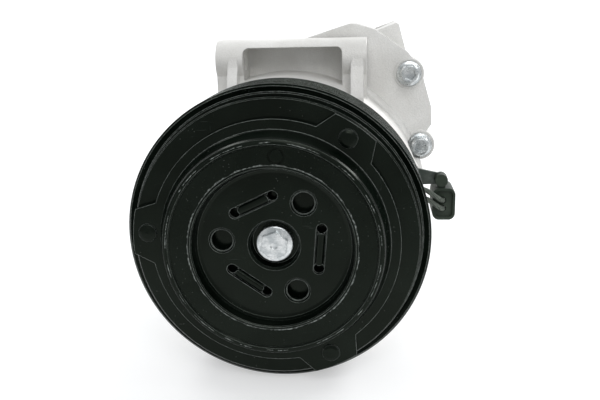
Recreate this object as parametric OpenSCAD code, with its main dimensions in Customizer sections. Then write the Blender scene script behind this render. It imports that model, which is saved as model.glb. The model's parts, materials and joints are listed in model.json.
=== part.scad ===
// Automotive air-conditioning compressor: a belt pulley with a damped electromagnetic
// clutch drives a scroll pump inside a two-piece cast aluminium housing.
// Millimetres. The origin is on the shaft axis in the middle of the belt's width.
// +Y runs from the clutch face to the rear cover, +X is to the right seen from the clutch.

/* [Pulley] */
// Outside diameter of the ribbed belt track
belt_d = 125; // [112:1:150]
// Width of the belt track
belt_w = 24; // [23:0.5:30]
// Number of belt ribs
rib_count = 6; // [4:1:6]
// Depth of a rib groove
rib_depth = 2.8; // [2:0.1:3.2]
// Thickness of the rim under the rib grooves
rim_wall = 6.4; // [6:0.1:7.5]
// Thickness of the pulley's front plate
pulley_plate_t = 6; // [5:0.5:7]

/* [Clutch] */
// Outside diameter of the armature plate
armature_d = 115.8; // [106:0.2:118]
// Thickness of the armature plate
armature_t = 4.8; // [3:0.2:6]
// Air gap between the armature plate and the pulley
air_gap = 0.5; // [0.3:0.05:0.7]
// Thickness of the driven ring that carries the three ears
ear_t = 3.6; // [2:0.2:4]
// Outside diameter of the driven ring between its ears
ring_d = 100.2; // [98:0.2:103]
// Outside diameter of the damper cup at its lip
cup_d = 86.4; // [84:0.2:88]
// Height of the damper cup in front of the driven ring
cup_h = 7.8; // [6:0.2:10]
// Outside diameter of the hub dish
dish_d = 67; // [64:0.5:70]
// Depth of the hub dish below its rim
dish_depth = 6; // [4:0.2:7]
// Sheet thickness of the hub dish
dish_t = 2.4; // [2:0.1:3]
// Radius of the circle of the three lightening holes in the dish
dish_hole_circle = 21; // [19:0.5:22]
// Radius of a lightening hole
dish_hole_r = 4.3; // [3:0.1:4.5]
// Distance of the stiffening slots from the axis
slot_offset = 18.3; // [17:0.1:19]
// Length of a stiffening slot
slot_len = 21; // [16:0.5:22]
// Width of a stiffening slot
slot_w = 4.3; // [3:0.1:4.5]

/* [Bearings] */
// Bore radius of the pulley bearing
pulley_bearing_in = 17.5; // [17:0.1:18]
// Outer radius of the pulley bearing
pulley_bearing_out = 27.5; // [26.5:0.1:28]
// Width of the pulley bearing
pulley_bearing_w = 20; // [18:0.5:20]
// Bore radius of the main bearing
main_bearing_in = 15; // [14:0.1:16]
// Outer radius of the main bearing
main_bearing_out = 27.5; // [26:0.1:29]
// Width of the main bearing
main_bearing_w = 12.6; // [11:0.2:13]
// Radial running clearance of a shaft in its bush
running_gap = 0.05; // [0.02:0.01:0.1]

/* [Scroll pump] */
// Radius of the generating circle of the scroll wraps
wrap_base_r = 2.6; // [2.4:0.05:2.65]
// Thickness of a wrap wall
wrap_t = 3.6; // [3:0.1:4]
// Height of the wraps
wrap_h = 30; // [24:1:32]
// Flank clearance between the two wraps
flank_gap = 0.2; // [0.15:0.01:0.3]
// Thickness of the orbiting scroll's plate
orbit_plate_t = 8; // [6:0.5:9]
// Radius of the crank pin
crank_pin_r = 7; // [6:0.25:8]
// Wall of the drive bush on the crank pin
drive_bush_wall = 3; // [2.5:0.1:4]
// Radius of an anti-rotation pin
orbit_pin_r = 2.5; // [2:0.1:3]

/* [Housing] */
// Outside radius of the front housing barrel
barrel_r = 62; // [61:0.5:66]
// Position of the joint between the two housings
joint_y = 62; // [61:0.5:66]
// Thickness of each housing flange
flange_t = 7.5; // [6:0.5:9]
// Wall of the rear housing around the pump
rear_wall = 7; // [5:0.5:8]
// Length of the discharge chamber
chamber_len = 25; // [22:1:34]
// Radius of the discharge chamber
chamber_r = 42; // [38:0.5:43]
// Radius of a housing bolt's shank
bolt_r = 3; // [2.5:0.25:3.5]

/* [Mounting lugs] */
// Width of the upper lug along its bolt
lug_w = 67.4; // [60:0.2:74]
// Radius of a lug boss
lug_r = 9; // [8:0.5:10]
// Height of the upper lug's bolt axis
lug_z = 67.7; // [67:0.1:72]
// Radius of a lug's bolt hole
lug_bore_r = 4.5; // [4:0.1:5.5]
// Thickness of the bar over the upper lug's pocket
pocket_roof = 3.2; // [2:0.1:4]

/* [Ports] */
// Tilt of the port face about the shaft axis
port_tilt = 19; // [10:1:25]
// Distance of the port face from the shaft axis
port_face = 61.5; // [58:0.25:64]
// Radius of the suction port
suction_r = 9.5; // [8:0.25:10]
// Radius of the discharge port
discharge_r = 7.5; // [6:0.25:8]
// Depth of the ports' sealing bores
port_depth = 10; // [8:0.5:11]

/* [Hidden] */
$fn = 72;

// Clearances
fit_gap = 0.02;          // between pressed or seated pieces of one body
free_gap = 0.3;          // between pieces that pass each other
tip_gap = 0.2;           // between a wrap's tip and the other scroll's plate

// Pulley and clutch places along the shaft
belt_r = belt_d / 2;
rib_pitch = 3.56;
rim_in = belt_r - rib_depth - rim_wall;
friction_y = -belt_w / 2 - 0.4;
plate_back_y = friction_y - air_gap;
plate_front_y = plate_back_y - armature_t;
ring_back_y = plate_front_y - fit_gap;
ring_front_y = ring_back_y - ear_t;
lip_y = ring_front_y - cup_h;
dish_rim_y = lip_y + 0.3;
dish_floor_y = dish_rim_y + dish_depth;
dish_back_y = dish_floor_y + dish_t;
armature_r = armature_d / 2;
armature_in = 13.7;
relief_r = pulley_bearing_out + 1;
cup_r = cup_d / 2;
cup_wall = 2.3;
cup_in = cup_r - cup_wall;
dish_r = dish_d / 2;
ear_r = armature_r - 0.4;
rivet_circle = 51.5;
rivet_r = 2.6;
rivet_head_r = 3.9;
gate_r = 3.3;
ear_angles = [55, 175, 295];
slot_angles = [115, 235, 355];

// Hub sleeve and shaft
seat_r = 10.2;
seat_y = dish_floor_y + 5.5;
web_t = 3;
spline_r = 7;
sleeve_r = 12.4;
sleeve_end_y = 2.4;
shim_t = 0.6;
shaft_front_y = seat_y + web_t + shim_t;
seal_shaft_r = 8;
screw_r = 3;
clutch_bolt_flange_r = 7.4;
clutch_bolt_flange_t = 3.9;
clutch_bolt_af = 10;
clutch_bolt_h = 2.5;
clutch_bolt_len = 16;
clutch_bolt_turn = 20;

// Bearings
ball_r = 3;
ball_gap = 0.06;
pulley_ball_circle = (pulley_bearing_in + pulley_bearing_out) / 2;
pulley_ball_rows = [-4.4, 4.4];
pulley_ball_count = 16;
pulley_bearing_y = -pulley_bearing_w / 2;
race_t = 3;
main_ball_r = 3.6;
main_ball_circle = (main_bearing_in + main_bearing_out) / 2;
main_ball_count = 12;
seal_seat_y = 21;
bearing_y = 23;
bearing_front_y = bearing_y + free_gap;
bearing_back_y = bearing_front_y + main_bearing_w;

// Coil
coil_face_y = 15.6;
coil_plate_t = 2.5;
coil_boss_r = 24;
coil_wall = 3.2;
coil_out = rim_in - 0.8;
tube_out = pulley_bearing_out + 3.8;
coil_in = tube_out + 0.8;
coil_front_y = friction_y + pulley_plate_t + 1.4;
nose_r = pulley_bearing_in - fit_gap;
nose_bore_r = 13.5;
nose_end_y = friction_y + 0.25;
shoulder_y = pulley_bearing_y + pulley_bearing_w + 0.2;

// Coil leads, as offsets from the middle of their exit in the coil's back face
lead_r = 1.1;
lead_spread = [-1.9, 1.9];
lead_x = 45.5;
lead_z = 9;
lead_route = [[0, -4, 0], [0, -1, 0], [0.6, 1.6, 0], [3, 3.6, 0.2], [7, 4.8, 0.8], [11, 5.2, 1.6], [14.5, 5.2, 1.4],
    [17.5, 5, 0.2], [20.5, 5, -1.9], [23, 5.5, -3.7], [24.4, 7, -4.7], [24.7, 8.6, -5], [24.7, 9.8, -5]];
notch_z0 = 5;
notch_z1 = 13.5;

// Connector beside the belt
plug_x = 70.5;
plug_z = 4.4;
plug_w = 10;
plug_h = 14.4;
plug_y = 23;
plug_len = 15;
plug_corner = 3;
clip_x = 69.3;
clip_z = 15;
clip_r = 2.8;
bracket_y = 28;
bracket_t = 1.6;
bracket_boss_x = 54;
bracket_boss_z = 16;
bracket_screw_r = 2.5;

// Scroll pump
orbit_r = PI * wrap_base_r - wrap_t - flank_gap;
wrap_from = 180;
wrap_to = 945;
wrap_step = 15;
wrap_out = wrap_base_r * wrap_to * PI / 180 + wrap_t / 2;
plate_r = wrap_out + 0.9;
scroll_bore_r = plate_r + orbit_r + 0.4;
scroll_r = scroll_bore_r + 3.6;
orbit_back_y = joint_y - 1 - orbit_plate_t;
wrap_y = orbit_back_y + orbit_plate_t;
wrap_tip_y = wrap_y + wrap_h;
fixed_plate_y = wrap_tip_y + tip_gap;
fixed_plate_t = 10;
fixed_back_y = fixed_plate_y + fixed_plate_t;
thrust_t = 3;
thrust_r = scroll_bore_r + 1.5;
thrust_y = orbit_back_y - free_gap - thrust_t;
bush_r = crank_pin_r + drive_bush_wall;
orbit_bush_t = 2;
boss_wall = 3;
boss_r = bush_r + running_gap + orbit_bush_t + boss_wall;
boss_len = 12;
crank_y = bearing_back_y + 1;
boss_y = orbit_back_y - boss_len;
orbit_pin_circle = 36;
orbit_ring_in = orbit_pin_r + orbit_r + 0.15;
orbit_ring_wall = 1.6;
orbit_ring_depth = 4;
orbit_pin_angles = [45, 135, 225, 315];
discharge_hole_r = 4.5;
weight_out = 36;
reed_screw_z = 20;

// Housings
cavity_r = 44;
rear_r = scroll_r + rear_wall;
gasket_t = 0.5;
rear_y = joint_y + gasket_t;
chamber_y = fixed_back_y + 0.2;
chamber_end_y = chamber_y + chamber_len;
rear_end_y = chamber_end_y + 6.5;
tail_r = chamber_r + 7;
flange_front_y = joint_y - flange_t;
// Angle of each housing bolt and its distance outside the barrel
bolt_polar = [[22.5, 4.6], [46.7, 19.7], [160, 4.6], [195, 4.6], [228, 4.6], [312, 4.6]];
bolt_reach = 14;
dowel_angles = [104, 345];
dowel_r = 2.5;
bolt_boss_r = 7;
ear_step = 0.6;
bolt_seat_y = flange_front_y - 0.4;
bolt_head_r = 4.5;
bolt_head_h = 6;
rest_z = -belt_r;
lower_lug_z = rest_z + lug_r;
lug_web_top = -41.5;
front_lug_y = 42;
rear_lug_y = chamber_y + 12;
lug_left = -31;
lug_right = lug_left + lug_w;
lug_y = 40;
lug_back_y = 52;
pocket_left = -18.7;
pocket_right = 25.5;
pocket_back_y = 50;
pocket_corner = 2.5;
lug_top = lug_z + lug_r;
gallery_r = 5;
gallery_u = 58;
gallery_v = 36;
gallery_front_y = joint_y - 4.5;
port_y = joint_y + 30;
suction_u = 61;
discharge_u = 36;
discharge_v = 47;
gas_way_r = 3.2;
discharge_drop_y = chamber_y + 4.5;
stud_u = 48;
stud_hole_r = 3.4;
stud_hole_depth = 11;
screen_r = 7;
block_left = 24;
block_right = 75.3;
block_y1 = discharge_drop_y + 5;
horn_x = 30.6;
horn_z = 83.2;
valve_x = -20;
valve_z = 14;
valve_r = 5;
oil_plug_z = -8;
oil_plug_r = 5;
plug_seat_y = chamber_y + 17;

// Pieces along Y
module turned(points) rotate([-90, 0, 0]) rotate_extrude($fn = 96) polygon(points);
module rod_y(r, y0, y1) translate([0, y0, 0]) rotate([-90, 0, 0]) cylinder(r = r, h = y1 - y0);
module rod_x(r, x0, x1) translate([x0, 0, 0]) rotate([0, 90, 0]) cylinder(r = r, h = x1 - x0);
module slab_y(y0, y1) translate([0, y1, 0]) rotate([90, 0, 0]) linear_extrude(y1 - y0) children();
module slab_x(x0, x1) translate([x0, 0, 0]) rotate([90, 0, 90]) linear_extrude(x1 - x0) children();
module at_angle(a, r) rotate([0, -a, 0]) translate([r, 0, 0]) children();
module tube_y(r_in, r_out, y0, y1) turned([[r_in, y0], [r_out, y0], [r_out, y1], [r_in, y1]]);
module at_ports() rotate([0, -port_tilt, 0]) children();

// An open snap ring with a gap between its ends
module snap_ring(r_in, r_out, y0, y1) difference() {
    tube_y(r_in, r_out, y0, y1);
    translate([0, y0 - 1, r_in - 1]) cube([7, y1 - y0 + 2, r_out - r_in + 2]);
}

// ---- Pulley ----
function groove(i) = let(y = (i - (rib_count - 1) / 2) * rib_pitch) [
    [belt_r, y - 1.5], [belt_r - rib_depth, y - 0.35], [belt_r - rib_depth, y + 0.35], [belt_r, y + 1.5]];

module flux_slots(r_in, r_out, y0, y1, turn) difference() {
    tube_y(r_in, r_out, y0, y1);
    for (a = [0, 60, 120])
        rotate([0, turn + a, 0]) translate([-r_out - 1, y0 - 1, -3]) cube([2 * r_out + 2, y1 - y0 + 2, 6]);
}

module pulley() color([0.06, 0.07, 0.07]) difference() {
    turned(concat(
        [[pulley_bearing_out - 2, friction_y], [belt_r - 3.6, friction_y], [belt_r - 3.2, 0.9 - belt_w / 2],
            [belt_r - 1.6, 0.3 - belt_w / 2], [belt_r - 0.9, -belt_w / 2], [belt_r, 0.9 - belt_w / 2]],
        [for (i = [0 : rib_count - 1]) each groove(i)],
        [[belt_r, belt_w / 2 - 0.9], [belt_r - 0.9, belt_w / 2], [rim_in, belt_w / 2],
            [rim_in, friction_y + pulley_plate_t], [tube_out, friction_y + pulley_plate_t],
            [tube_out, shoulder_y - 0.6], [pulley_bearing_out + fit_gap, shoulder_y - 0.6],
            [pulley_bearing_out + fit_gap, pulley_bearing_y - fit_gap],
            [pulley_bearing_out - 2, pulley_bearing_y - fit_gap]]));
    flux_slots(36, 38.6, friction_y - 1, friction_y + pulley_plate_t + 1, 0);
    flux_slots(46, 48.6, friction_y - 1, friction_y + pulley_plate_t + 1, 30);
}

// Grooves of the ball rows in a race
module ball_track(circle, r, y) translate([0, y, 0]) rotate([-90, 0, 0])
    rotate_extrude($fn = 96) translate([circle, 0]) circle(r = r, $fn = 48);

module pulley_bearing_outer_race() color("silver") difference() {
    tube_y(pulley_bearing_out - race_t, pulley_bearing_out, pulley_bearing_y, pulley_bearing_y + pulley_bearing_w);
    for (y = pulley_ball_rows) ball_track(pulley_ball_circle, ball_r + ball_gap, y);
}

module pulley_bearing_inner_race() color("silver") difference() {
    tube_y(pulley_bearing_in, pulley_bearing_in + race_t, pulley_bearing_y, pulley_bearing_y + pulley_bearing_w);
    for (y = pulley_ball_rows) ball_track(pulley_ball_circle, ball_r + ball_gap, y);
}

module ball_ring(count, circle, r, y) for (i = [0 : count - 1])
    at_angle(360 * i / count, circle) translate([0, y, 0]) sphere(r = r, $fn = 32);

module pulley_bearing_balls() color("gainsboro") for (y = pulley_ball_rows)
    ball_ring(pulley_ball_count, pulley_ball_circle, ball_r, y);

module cage(count, circle, r, half_t, y0, y1, rows) difference() {
    tube_y(circle - half_t, circle + half_t, y0, y1);
    for (y = rows) for (i = [0 : count - 1])
        at_angle(360 * i / count, circle - 3) translate([0, y, 0]) rod_x(r + 0.08, 0, 6);
}

module pulley_bearing_cage() color("peru")
    cage(pulley_ball_count, pulley_ball_circle, ball_r, 0.9, -8.4, 8.4, pulley_ball_rows);

module pulley_bearing_seals() color([0.15, 0.1, 0.08]) for (side = [-1, 1])
    turned([[pulley_bearing_in + race_t + 0.15, side * 9.7], [pulley_bearing_out - race_t - fit_gap, side * 9.7],
        [pulley_bearing_out - race_t - fit_gap, side * 8.8], [pulley_bearing_in + race_t + 0.15, side * 8.8]]);

module pulley_snap_ring() color("dimgray")
    snap_ring(nose_r - 1.2 + fit_gap, nose_r + 1.8, pulley_bearing_y - 1.4, pulley_bearing_y - 0.1);

// ---- Coil and connector ----
module coil_housing() color([0.16, 0.17, 0.18]) difference() {
    turned([[coil_boss_r + fit_gap, coil_face_y - fit_gap - coil_plate_t], [coil_in, coil_face_y - fit_gap - coil_plate_t],
        [coil_in, coil_front_y], [coil_in + coil_wall, coil_front_y],
        [coil_in + coil_wall, coil_face_y - fit_gap - coil_plate_t - 1.5],
        [coil_out - coil_wall, coil_face_y - fit_gap - coil_plate_t - 1.5],
        [coil_out - coil_wall, coil_front_y], [coil_out, coil_front_y], [coil_out, coil_face_y - fit_gap],
        [coil_boss_r + fit_gap, coil_face_y - fit_gap]]);
    for (z = lead_spread)
        translate([lead_x, 0, lead_z + z]) rod_y(lead_r + 0.1, coil_face_y - coil_plate_t - 3, coil_face_y + 1);
}

module coil_winding() color([0.55, 0.27, 0.1]) tube_y(coil_in + coil_wall + fit_gap, coil_out - coil_wall - fit_gap,
    coil_front_y + 0.4, coil_face_y - coil_plate_t - 1.5 - 2 * fit_gap);

module coil_snap_ring() color("dimgray")
    snap_ring(coil_boss_r - 1 + fit_gap, coil_boss_r + 1.8, coil_face_y - coil_plate_t - 1.3, coil_face_y - coil_plate_t - 0.1);

// The two leads leave the coil's back, pass out behind the belt and enter the connector
function ring_at(p, q, r) = let(d = (q - p) / norm(q - p), s = cross(d, [0, 0, 1]), n = s / norm(s), m = cross(n, d))
    [for (k = [0 : 9]) p + r * (cos(36 * k) * n + sin(36 * k) * m)];

module lead(z) {
    last = len(lead_route) - 1;
    places = [for (p = lead_route) p + [lead_x, coil_face_y, lead_z + z]];
    rings = [for (i = [0 : last]) let(a = places[max(i - 1, 0)], b = places[min(i + 1, last)])
        ring_at(places[i], places[i] + (b - a), lead_r)];
    points = [for (r = rings) each r];
    sides = [for (i = [0 : last - 1]) for (k = [0 : 9])
        [10 * i + k, 10 * i + (k + 1) % 10, 10 * i + 10 + (k + 1) % 10, 10 * i + 10 + k]];
    ends = [[for (k = [9 : -1 : 0]) k], [for (k = [0 : 9]) 10 * last + k]];
    polyhedron(points, concat(sides, ends));
}

module coil_leads() color([0.36, 0.38, 0.33]) for (z = lead_spread) lead(z);

module rounded_plate(w, h, corner) union() {
    square([w - 2 * corner, h], center = true);
    square([w, h - 2 * corner], center = true);
    for (x = [-1, 1]) for (z = [-1, 1])
        translate([x * (w / 2 - corner), z * (h / 2 - corner)]) circle(r = corner, $fn = 32);
}

// Two-pole connector with a recessed back shell, a mating socket behind and a push-in clip on top
module connector_body() color([0.2, 0.21, 0.2]) difference() {
    union() {
        translate([plug_x, 0, plug_z]) slab_y(plug_y, plug_y + plug_len) rounded_plate(plug_w, plug_h, plug_corner);
        translate([clip_x, 0, 0]) slab_y(plug_y + 1, plug_y + 4) translate([-1.8, plug_z + plug_h / 2 - 1])
            square([3.6, clip_z - plug_z - plug_h / 2 + 1]);
        translate([clip_x, 0, clip_z]) rod_y(clip_r, plug_y + 0.4, plug_y + 4.6);
        translate([clip_x, 0, clip_z]) rod_y(1.4, plug_y + 4.5, bracket_y + bracket_t + 1);
        translate([clip_x, 0, clip_z]) rod_y(1.9, bracket_y + bracket_t + 0.1, bracket_y + bracket_t + 1.2);
    }
    translate([plug_x, 0, plug_z]) slab_y(plug_y - 1, plug_y + 1.2)
        rounded_plate(plug_w - 2.4, plug_h - 2.4, plug_corner - 1.2);
    translate([plug_x, 0, plug_z]) slab_y(plug_y + 7, plug_y + plug_len + 1)
        rounded_plate(plug_w - 2.4, plug_h - 2.4, plug_corner - 1.2);
    for (z = lead_spread) translate([lead_x, 0, lead_z + z] + lead_route[len(lead_route) - 1] - [0, 9.8, 0])
        rod_y(lead_r + 0.3, plug_y, plug_y + 3.2);
    for (z = lead_spread) translate([plug_x, 0, plug_z + z]) rod_y(0.82, plug_y + 3, plug_y + 8);
}

module connector_pins() color("gold") for (z = lead_spread)
    translate([plug_x, 0, plug_z + z]) rod_y(0.8, plug_y + 3.3, plug_y + 11);

module connector_bracket() color([0.24, 0.25, 0.25]) difference() {
    union() {
        translate([bracket_boss_x, 0, bracket_boss_z]) rod_y(6, bracket_y, bracket_y + bracket_t);
        translate([clip_x, 0, clip_z]) rod_y(2.9, bracket_y, bracket_y + bracket_t);
        slab_y(bracket_y, bracket_y + bracket_t) polygon([[bracket_boss_x, bracket_boss_z - 4],
            [bracket_boss_x + 3, bracket_boss_z + 4], [clip_x + 0.5, clip_z + 2.2], [clip_x + 0.5, clip_z - 2.4]]);
    }
    translate([clip_x, 0, clip_z]) rod_y(1.45, bracket_y - 1, bracket_y + bracket_t + 1);
    translate([bracket_boss_x, 0, bracket_boss_z]) rod_y(bracket_screw_r + 0.2, bracket_y - 1, bracket_y + bracket_t + 1);
}

module bracket_screw() color("lightgray") translate([bracket_boss_x, 0, bracket_boss_z]) difference() {
    union() {
        rod_y(5, bracket_y - 1.2, bracket_y - fit_gap);
        translate([0, bracket_y - 4.6, 0]) rotate([-90, 0, 0]) cylinder(r = 4.04, h = 3.5, $fn = 6);
        rod_y(bracket_screw_r, bracket_y - 0.1, bracket_y + 11);
    }
    rod_y(2, bracket_y - 5, bracket_y - 4.2);
}

// ---- Clutch front ----
module armature_plate() color([0.07, 0.08, 0.08]) difference() {
    turned([[armature_in, plate_front_y], [armature_r - 0.5, plate_front_y], [armature_r, plate_front_y + 0.5],
        [armature_r, plate_back_y - 0.3], [armature_r - 0.3, plate_back_y],
        [relief_r, plate_back_y], [relief_r, plate_back_y - 1.6], [armature_in, plate_back_y - 1.6]]);
    flux_slots(40.5, 43, plate_front_y - 1, plate_back_y + 1, 15);
    for (a = ear_angles) at_angle(a, rivet_circle) rod_y(rivet_r + fit_gap, plate_front_y - 1, plate_back_y + 1);
}

module damper_cup() color([0.07, 0.08, 0.08]) difference() {
    union() {
        turned([[cup_in, ring_back_y + 1], [ring_d / 2, ring_back_y + 1], [ring_d / 2, ring_front_y - 0.6],
            [cup_r + 3, ring_front_y - 0.6], [cup_r + 2.5, ring_front_y - 1.2], [cup_r + 0.8, lip_y + 1.2],
            [cup_r + 0.3, lip_y + 0.3], [cup_r - 0.5, lip_y], [cup_in + 0.7, lip_y], [cup_in, lip_y + 0.7]]);
        for (a = ear_angles) intersection() {
            at_angle(a, 0) slab_y(ring_front_y - 0.3, ring_back_y + 2)
                polygon([[45, -14.2], [60, -8], [60, 8], [45, 14.2]]);
            rod_y(ear_r, ring_front_y - 1, ring_back_y + 3);
        }
    }
    behind(ring_back_y);
    tube_y(cup_r + 2.9, armature_r + 5, ring_front_y - 3, ring_front_y);
    for (a = ear_angles) at_angle(a, rivet_circle) rod_y(rivet_r + fit_gap, ring_front_y - 1, ring_back_y + 1);
}

module damper_rubber() color([0.04, 0.045, 0.045]) difference() {
    turned([[dish_r + running_gap, dish_rim_y + 0.3], [cup_in - fit_gap, dish_rim_y + 0.3],
        [cup_in - fit_gap, ring_back_y - 1], [dish_r + running_gap, ring_back_y - 1]]);
    at_angle(86, (dish_r + cup_in) / 2) tube_y(gate_r - 0.9, gate_r, dish_rim_y - 1, dish_rim_y + 1);
}

module clutch_rivets() color([0.09, 0.1, 0.1]) for (a = ear_angles) at_angle(a, rivet_circle)
    turned([[0, ring_front_y - 1.3], [rivet_head_r - 1.6, ring_front_y - 1.1], [rivet_head_r - 0.3, ring_front_y - 0.6],
        [rivet_head_r, ring_front_y - fit_gap], [rivet_r, ring_front_y - fit_gap], [rivet_r, plate_back_y - 0.3],
        [0, plate_back_y - 0.3]]);

module slot_shape(len, w) union() {
    square([w, len - w], center = true);
    for (s = [-1, 1]) translate([0, s * (len - w) / 2]) circle(r = w / 2, $fn = 32);
}

module hub_dish() color([0.05, 0.055, 0.055]) {
    difference() {
        turned([[screw_r + 0.3, seat_y], [seat_r - 0.9, seat_y], [seat_r - 0.5, dish_floor_y + 1], [seat_r + 0.4, dish_floor_y],
            [dish_r - 3.9, dish_floor_y], [dish_r - 2.7, dish_floor_y - 0.4], [dish_r - 2, dish_floor_y - 1.4],
            [dish_r - 1.8, dish_floor_y - 3], [dish_r - 1.4, dish_rim_y + 0.4], [dish_r - 0.9, dish_rim_y],
            [dish_r, dish_rim_y + 0.2], [dish_r, dish_back_y], [sleeve_r + 1, dish_back_y], [sleeve_r, dish_back_y + 1],
            [sleeve_r, sleeve_end_y], [spline_r + running_gap, sleeve_end_y],
            [spline_r + running_gap, seat_y + web_t], [screw_r + 0.3, seat_y + web_t]]);
        for (a = ear_angles) at_angle(a, dish_hole_circle) {
            rod_y(dish_hole_r, dish_floor_y - 1, dish_back_y + 1);
            turned([[0, dish_floor_y - 1], [dish_hole_r + 1.8, dish_floor_y - 1], [dish_hole_r + 0.4, dish_floor_y + 0.7],
                [0, dish_floor_y + 0.7]]);
        }
        for (a = slot_angles) at_angle(a, slot_offset) {
            slab_y(dish_floor_y - 1, dish_floor_y + 1.5) slot_shape(slot_len, slot_w);
            for (s = [-1, 1]) translate([0, 0, s * (slot_len - slot_w) / 2]) rod_y(slot_w / 2 - 0.1, dish_floor_y, dish_back_y + 1);
        }
    }
    for (a = slot_angles) at_angle(a, slot_offset) intersection() {
        slab_y(dish_floor_y - 0.5, dish_floor_y + 1.8) slot_shape(slot_len - 7.6, slot_w - 1);
        translate([0, dish_floor_y + 1.2, -slot_len / 2]) cylinder(r = 1.75, h = slot_len);
    }
}

module gap_shims() color("lightsteelblue") for (i = [0, 1])
    tube_y(screw_r + 0.3, spline_r - 0.1, seat_y + web_t + fit_gap + i * shim_t / 2,
        seat_y + web_t - fit_gap + (i + 1) * shim_t / 2);

module clutch_bolt() color("silver") {
    head_y = seat_y - fit_gap - clutch_bolt_flange_t;
    turned([[0, head_y - 0.5], [5.4, head_y - 0.5], [clutch_bolt_flange_r - 0.3, head_y - 0.1],
        [clutch_bolt_flange_r, head_y + 0.2], [clutch_bolt_flange_r, seat_y - fit_gap], [screw_r, seat_y - fit_gap],
        [screw_r, seat_y + clutch_bolt_len], [0, seat_y + clutch_bolt_len]]);
    rotate([0, -clutch_bolt_turn, 0]) difference() {
        translate([0, head_y - clutch_bolt_h, 0]) rotate([-90, 0, 0])
            cylinder(r = clutch_bolt_af / sqrt(3), h = clutch_bolt_h, $fn = 6);
        rod_y(1.3, head_y - clutch_bolt_h - 1, head_y - clutch_bolt_h + 0.5);
    }
}

// ---- Shaft and main bearing ----
module drive_shaft() color("lightslategray") difference() {
    union() {
        turned([[0, shaft_front_y], [spline_r - 0.6, shaft_front_y], [spline_r, shaft_front_y + 0.6],
            [spline_r, sleeve_end_y + 0.6], [seal_shaft_r, sleeve_end_y + 1.6], [seal_shaft_r, bearing_y - 0.4],
            [main_bearing_in + 2.2, bearing_y - 0.4], [main_bearing_in + 2.2, bearing_front_y - fit_gap],
            [main_bearing_in - fit_gap, bearing_front_y - fit_gap], [main_bearing_in - fit_gap, crank_y], [0, crank_y]]);
        translate([0, 0, orbit_r]) rod_y(crank_pin_r, crank_y - 1, orbit_back_y - 1.5);
    }
    rod_y(screw_r + fit_gap, shaft_front_y - 1, seat_y + clutch_bolt_len + 1);
}

module shaft_seal() color([0.1, 0.1, 0.12]) turned([[nose_bore_r - fit_gap, seal_seat_y - 7.5],
    [nose_bore_r - fit_gap, seal_seat_y - fit_gap], [seal_shaft_r + 2, seal_seat_y - fit_gap],
    [seal_shaft_r + running_gap, seal_seat_y - 1.2], [seal_shaft_r + running_gap, seal_seat_y - 2.4],
    [seal_shaft_r + 2.4, seal_seat_y - 4], [seal_shaft_r + running_gap, seal_seat_y - 5.8],
    [seal_shaft_r + running_gap, seal_seat_y - 7], [seal_shaft_r + 2, seal_seat_y - 7.5]]);

module seal_snap_ring() color("dimgray")
    snap_ring(nose_bore_r - 2, nose_bore_r + 0.9 - fit_gap, seal_seat_y - 8.9, seal_seat_y - 7.6);

module main_bearing_outer_race() color("silver") difference() {
    tube_y(main_bearing_out - 3.2, main_bearing_out - fit_gap, bearing_y + fit_gap, bearing_back_y);
    ball_track(main_ball_circle, main_ball_r + ball_gap, (bearing_front_y + bearing_back_y) / 2);
}

module main_bearing_inner_race() color("silver") difference() {
    tube_y(main_bearing_in, main_bearing_in + 3.6, bearing_front_y, bearing_back_y);
    ball_track(main_ball_circle, main_ball_r + ball_gap, (bearing_front_y + bearing_back_y) / 2);
}

module main_bearing_balls() color("gainsboro")
    ball_ring(main_ball_count, main_ball_circle, main_ball_r, (bearing_front_y + bearing_back_y) / 2);

module main_bearing_cage() color("peru") cage(main_ball_count, main_ball_circle, main_ball_r, 0.9,
    bearing_front_y + 1, bearing_back_y - 1, [(bearing_front_y + bearing_back_y) / 2]);

// The balance weight sits opposite the crank pin, clear of the scroll's boss
module counterweight() color("slategray") difference() {
    union() {
        rod_y(main_bearing_in + 4, crank_y + fit_gap, crank_y + 2.2);
        intersection() {
            rod_y(weight_out, crank_y + fit_gap, orbit_back_y - 5);
            slab_y(crank_y, orbit_back_y) polygon([[-40, -12], [40, -12], [30, -40], [-30, -40]]);
        }
    }
    translate([0, 0, orbit_r]) rod_y(boss_r + 0.8, crank_y + 2.2, orbit_back_y);
    translate([0, 0, orbit_r]) rod_y(crank_pin_r + fit_gap, crank_y - 1, orbit_back_y);
}

module drive_bush() color("goldenrod") translate([0, 0, orbit_r])
    tube_y(crank_pin_r + fit_gap, bush_r, crank_y + 2.5, orbit_back_y - 1.5);

// ---- Scroll pump ----
// A point on a wrap wall, a distance off the wrap's middle line
function wall_point(a, off) = wrap_base_r * [cos(a), sin(a)]
    + (wrap_base_r * a * PI / 180 + off) * [sin(a), -cos(a)];

module wrap(t) {
    steps = [wrap_from : wrap_step : wrap_to];
    back = [wrap_to : -wrap_step : wrap_from];
    polygon(concat([for (a = steps) wall_point(a, t / 2)], [for (a = back) wall_point(a, -t / 2)]));
}

// Groove for a tip seal, short of the wrap's ends
module wrap_groove(t, ends) {
    steps = [wrap_from + ends : wrap_step : wrap_to - ends];
    back = [wrap_to - ends : -wrap_step : wrap_from + ends];
    polygon(concat([for (a = steps) wall_point(a, t / 2)], [for (a = back) wall_point(a, -t / 2)]));
}

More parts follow.
